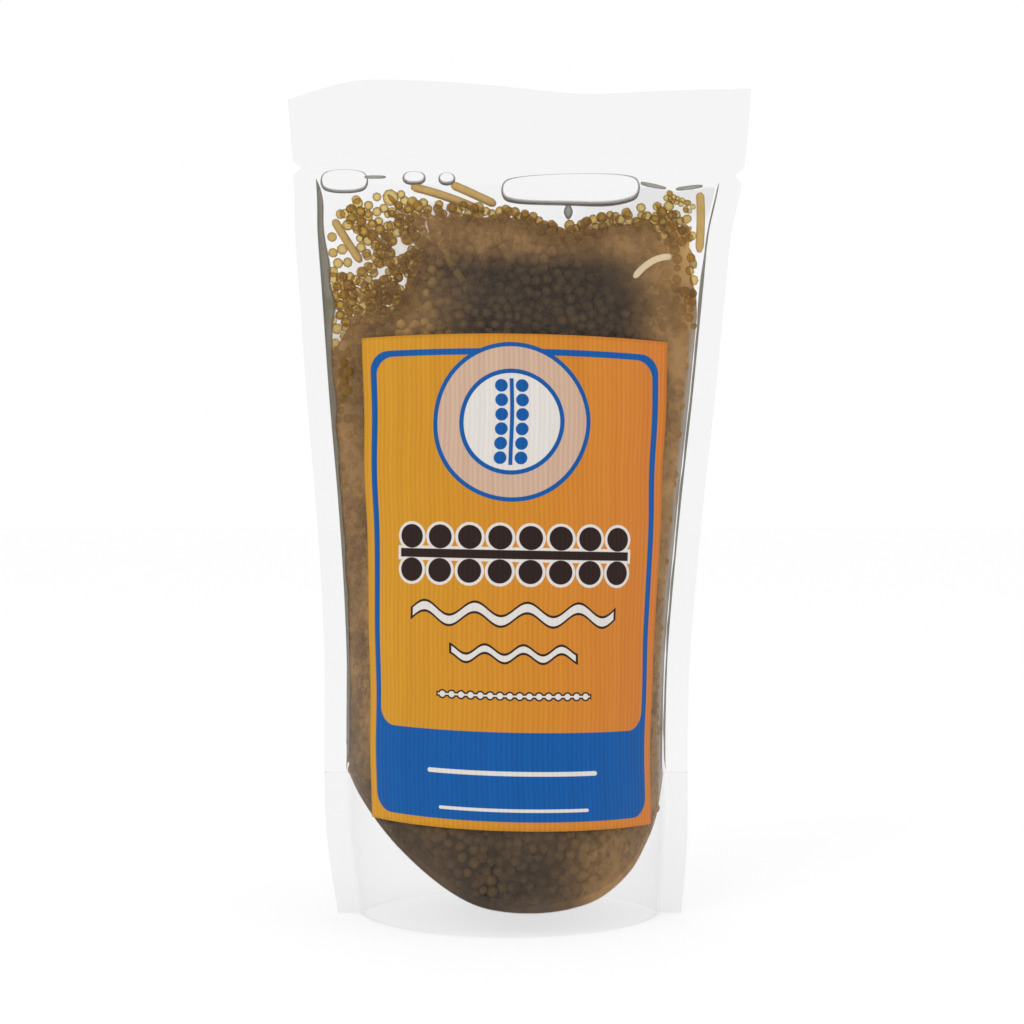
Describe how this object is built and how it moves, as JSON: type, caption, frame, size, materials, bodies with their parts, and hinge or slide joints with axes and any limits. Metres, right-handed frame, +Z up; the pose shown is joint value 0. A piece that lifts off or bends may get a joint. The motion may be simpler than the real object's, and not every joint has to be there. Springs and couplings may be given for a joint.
{
  "type": "pouch of sea grapes seaweed",
  "caption": "Clear stand-up pouch with a folded bottom gusset, side seals, tear notches and a label on the front, packed with beaded sea grapes fronds in brine.",
  "frame": {"origin": "on the surface that the pouch stands on, under the middle of its bounding box", "axes": "+Z up the pouch to its top seal, -Y out of the front panel with the label, +X to the right as the label is seen"},
  "size_m": [0.12, 0.0626, 0.2164],
  "materials": {
    "film": "clear, glossy",
    "label": "satin print with fine ribs",
    "brine": "clear liquid",
    "packed_fronds": "wet",
    "frond": "wet, translucent",
    "runner": "wet, translucent"
  },
  "bodies": {
    "root": {"front_film": "film", "back_film": "film", "gusset_film": "film", "label": "label", "brine": "brine", "packed_fronds": "packed_fronds", "frond_top_left": "frond", "frond_upper_left": "frond", "frond_left_edge": "frond", "frond_left_inner": "frond", "frond_left_low": "frond", "frond_top_right": "frond", "frond_right_edge": "frond", "runner_left": "runner", "runner_top": "runner", "runner_short": "runner", "runner_right": "runner"}
  },
  "joints": []
}
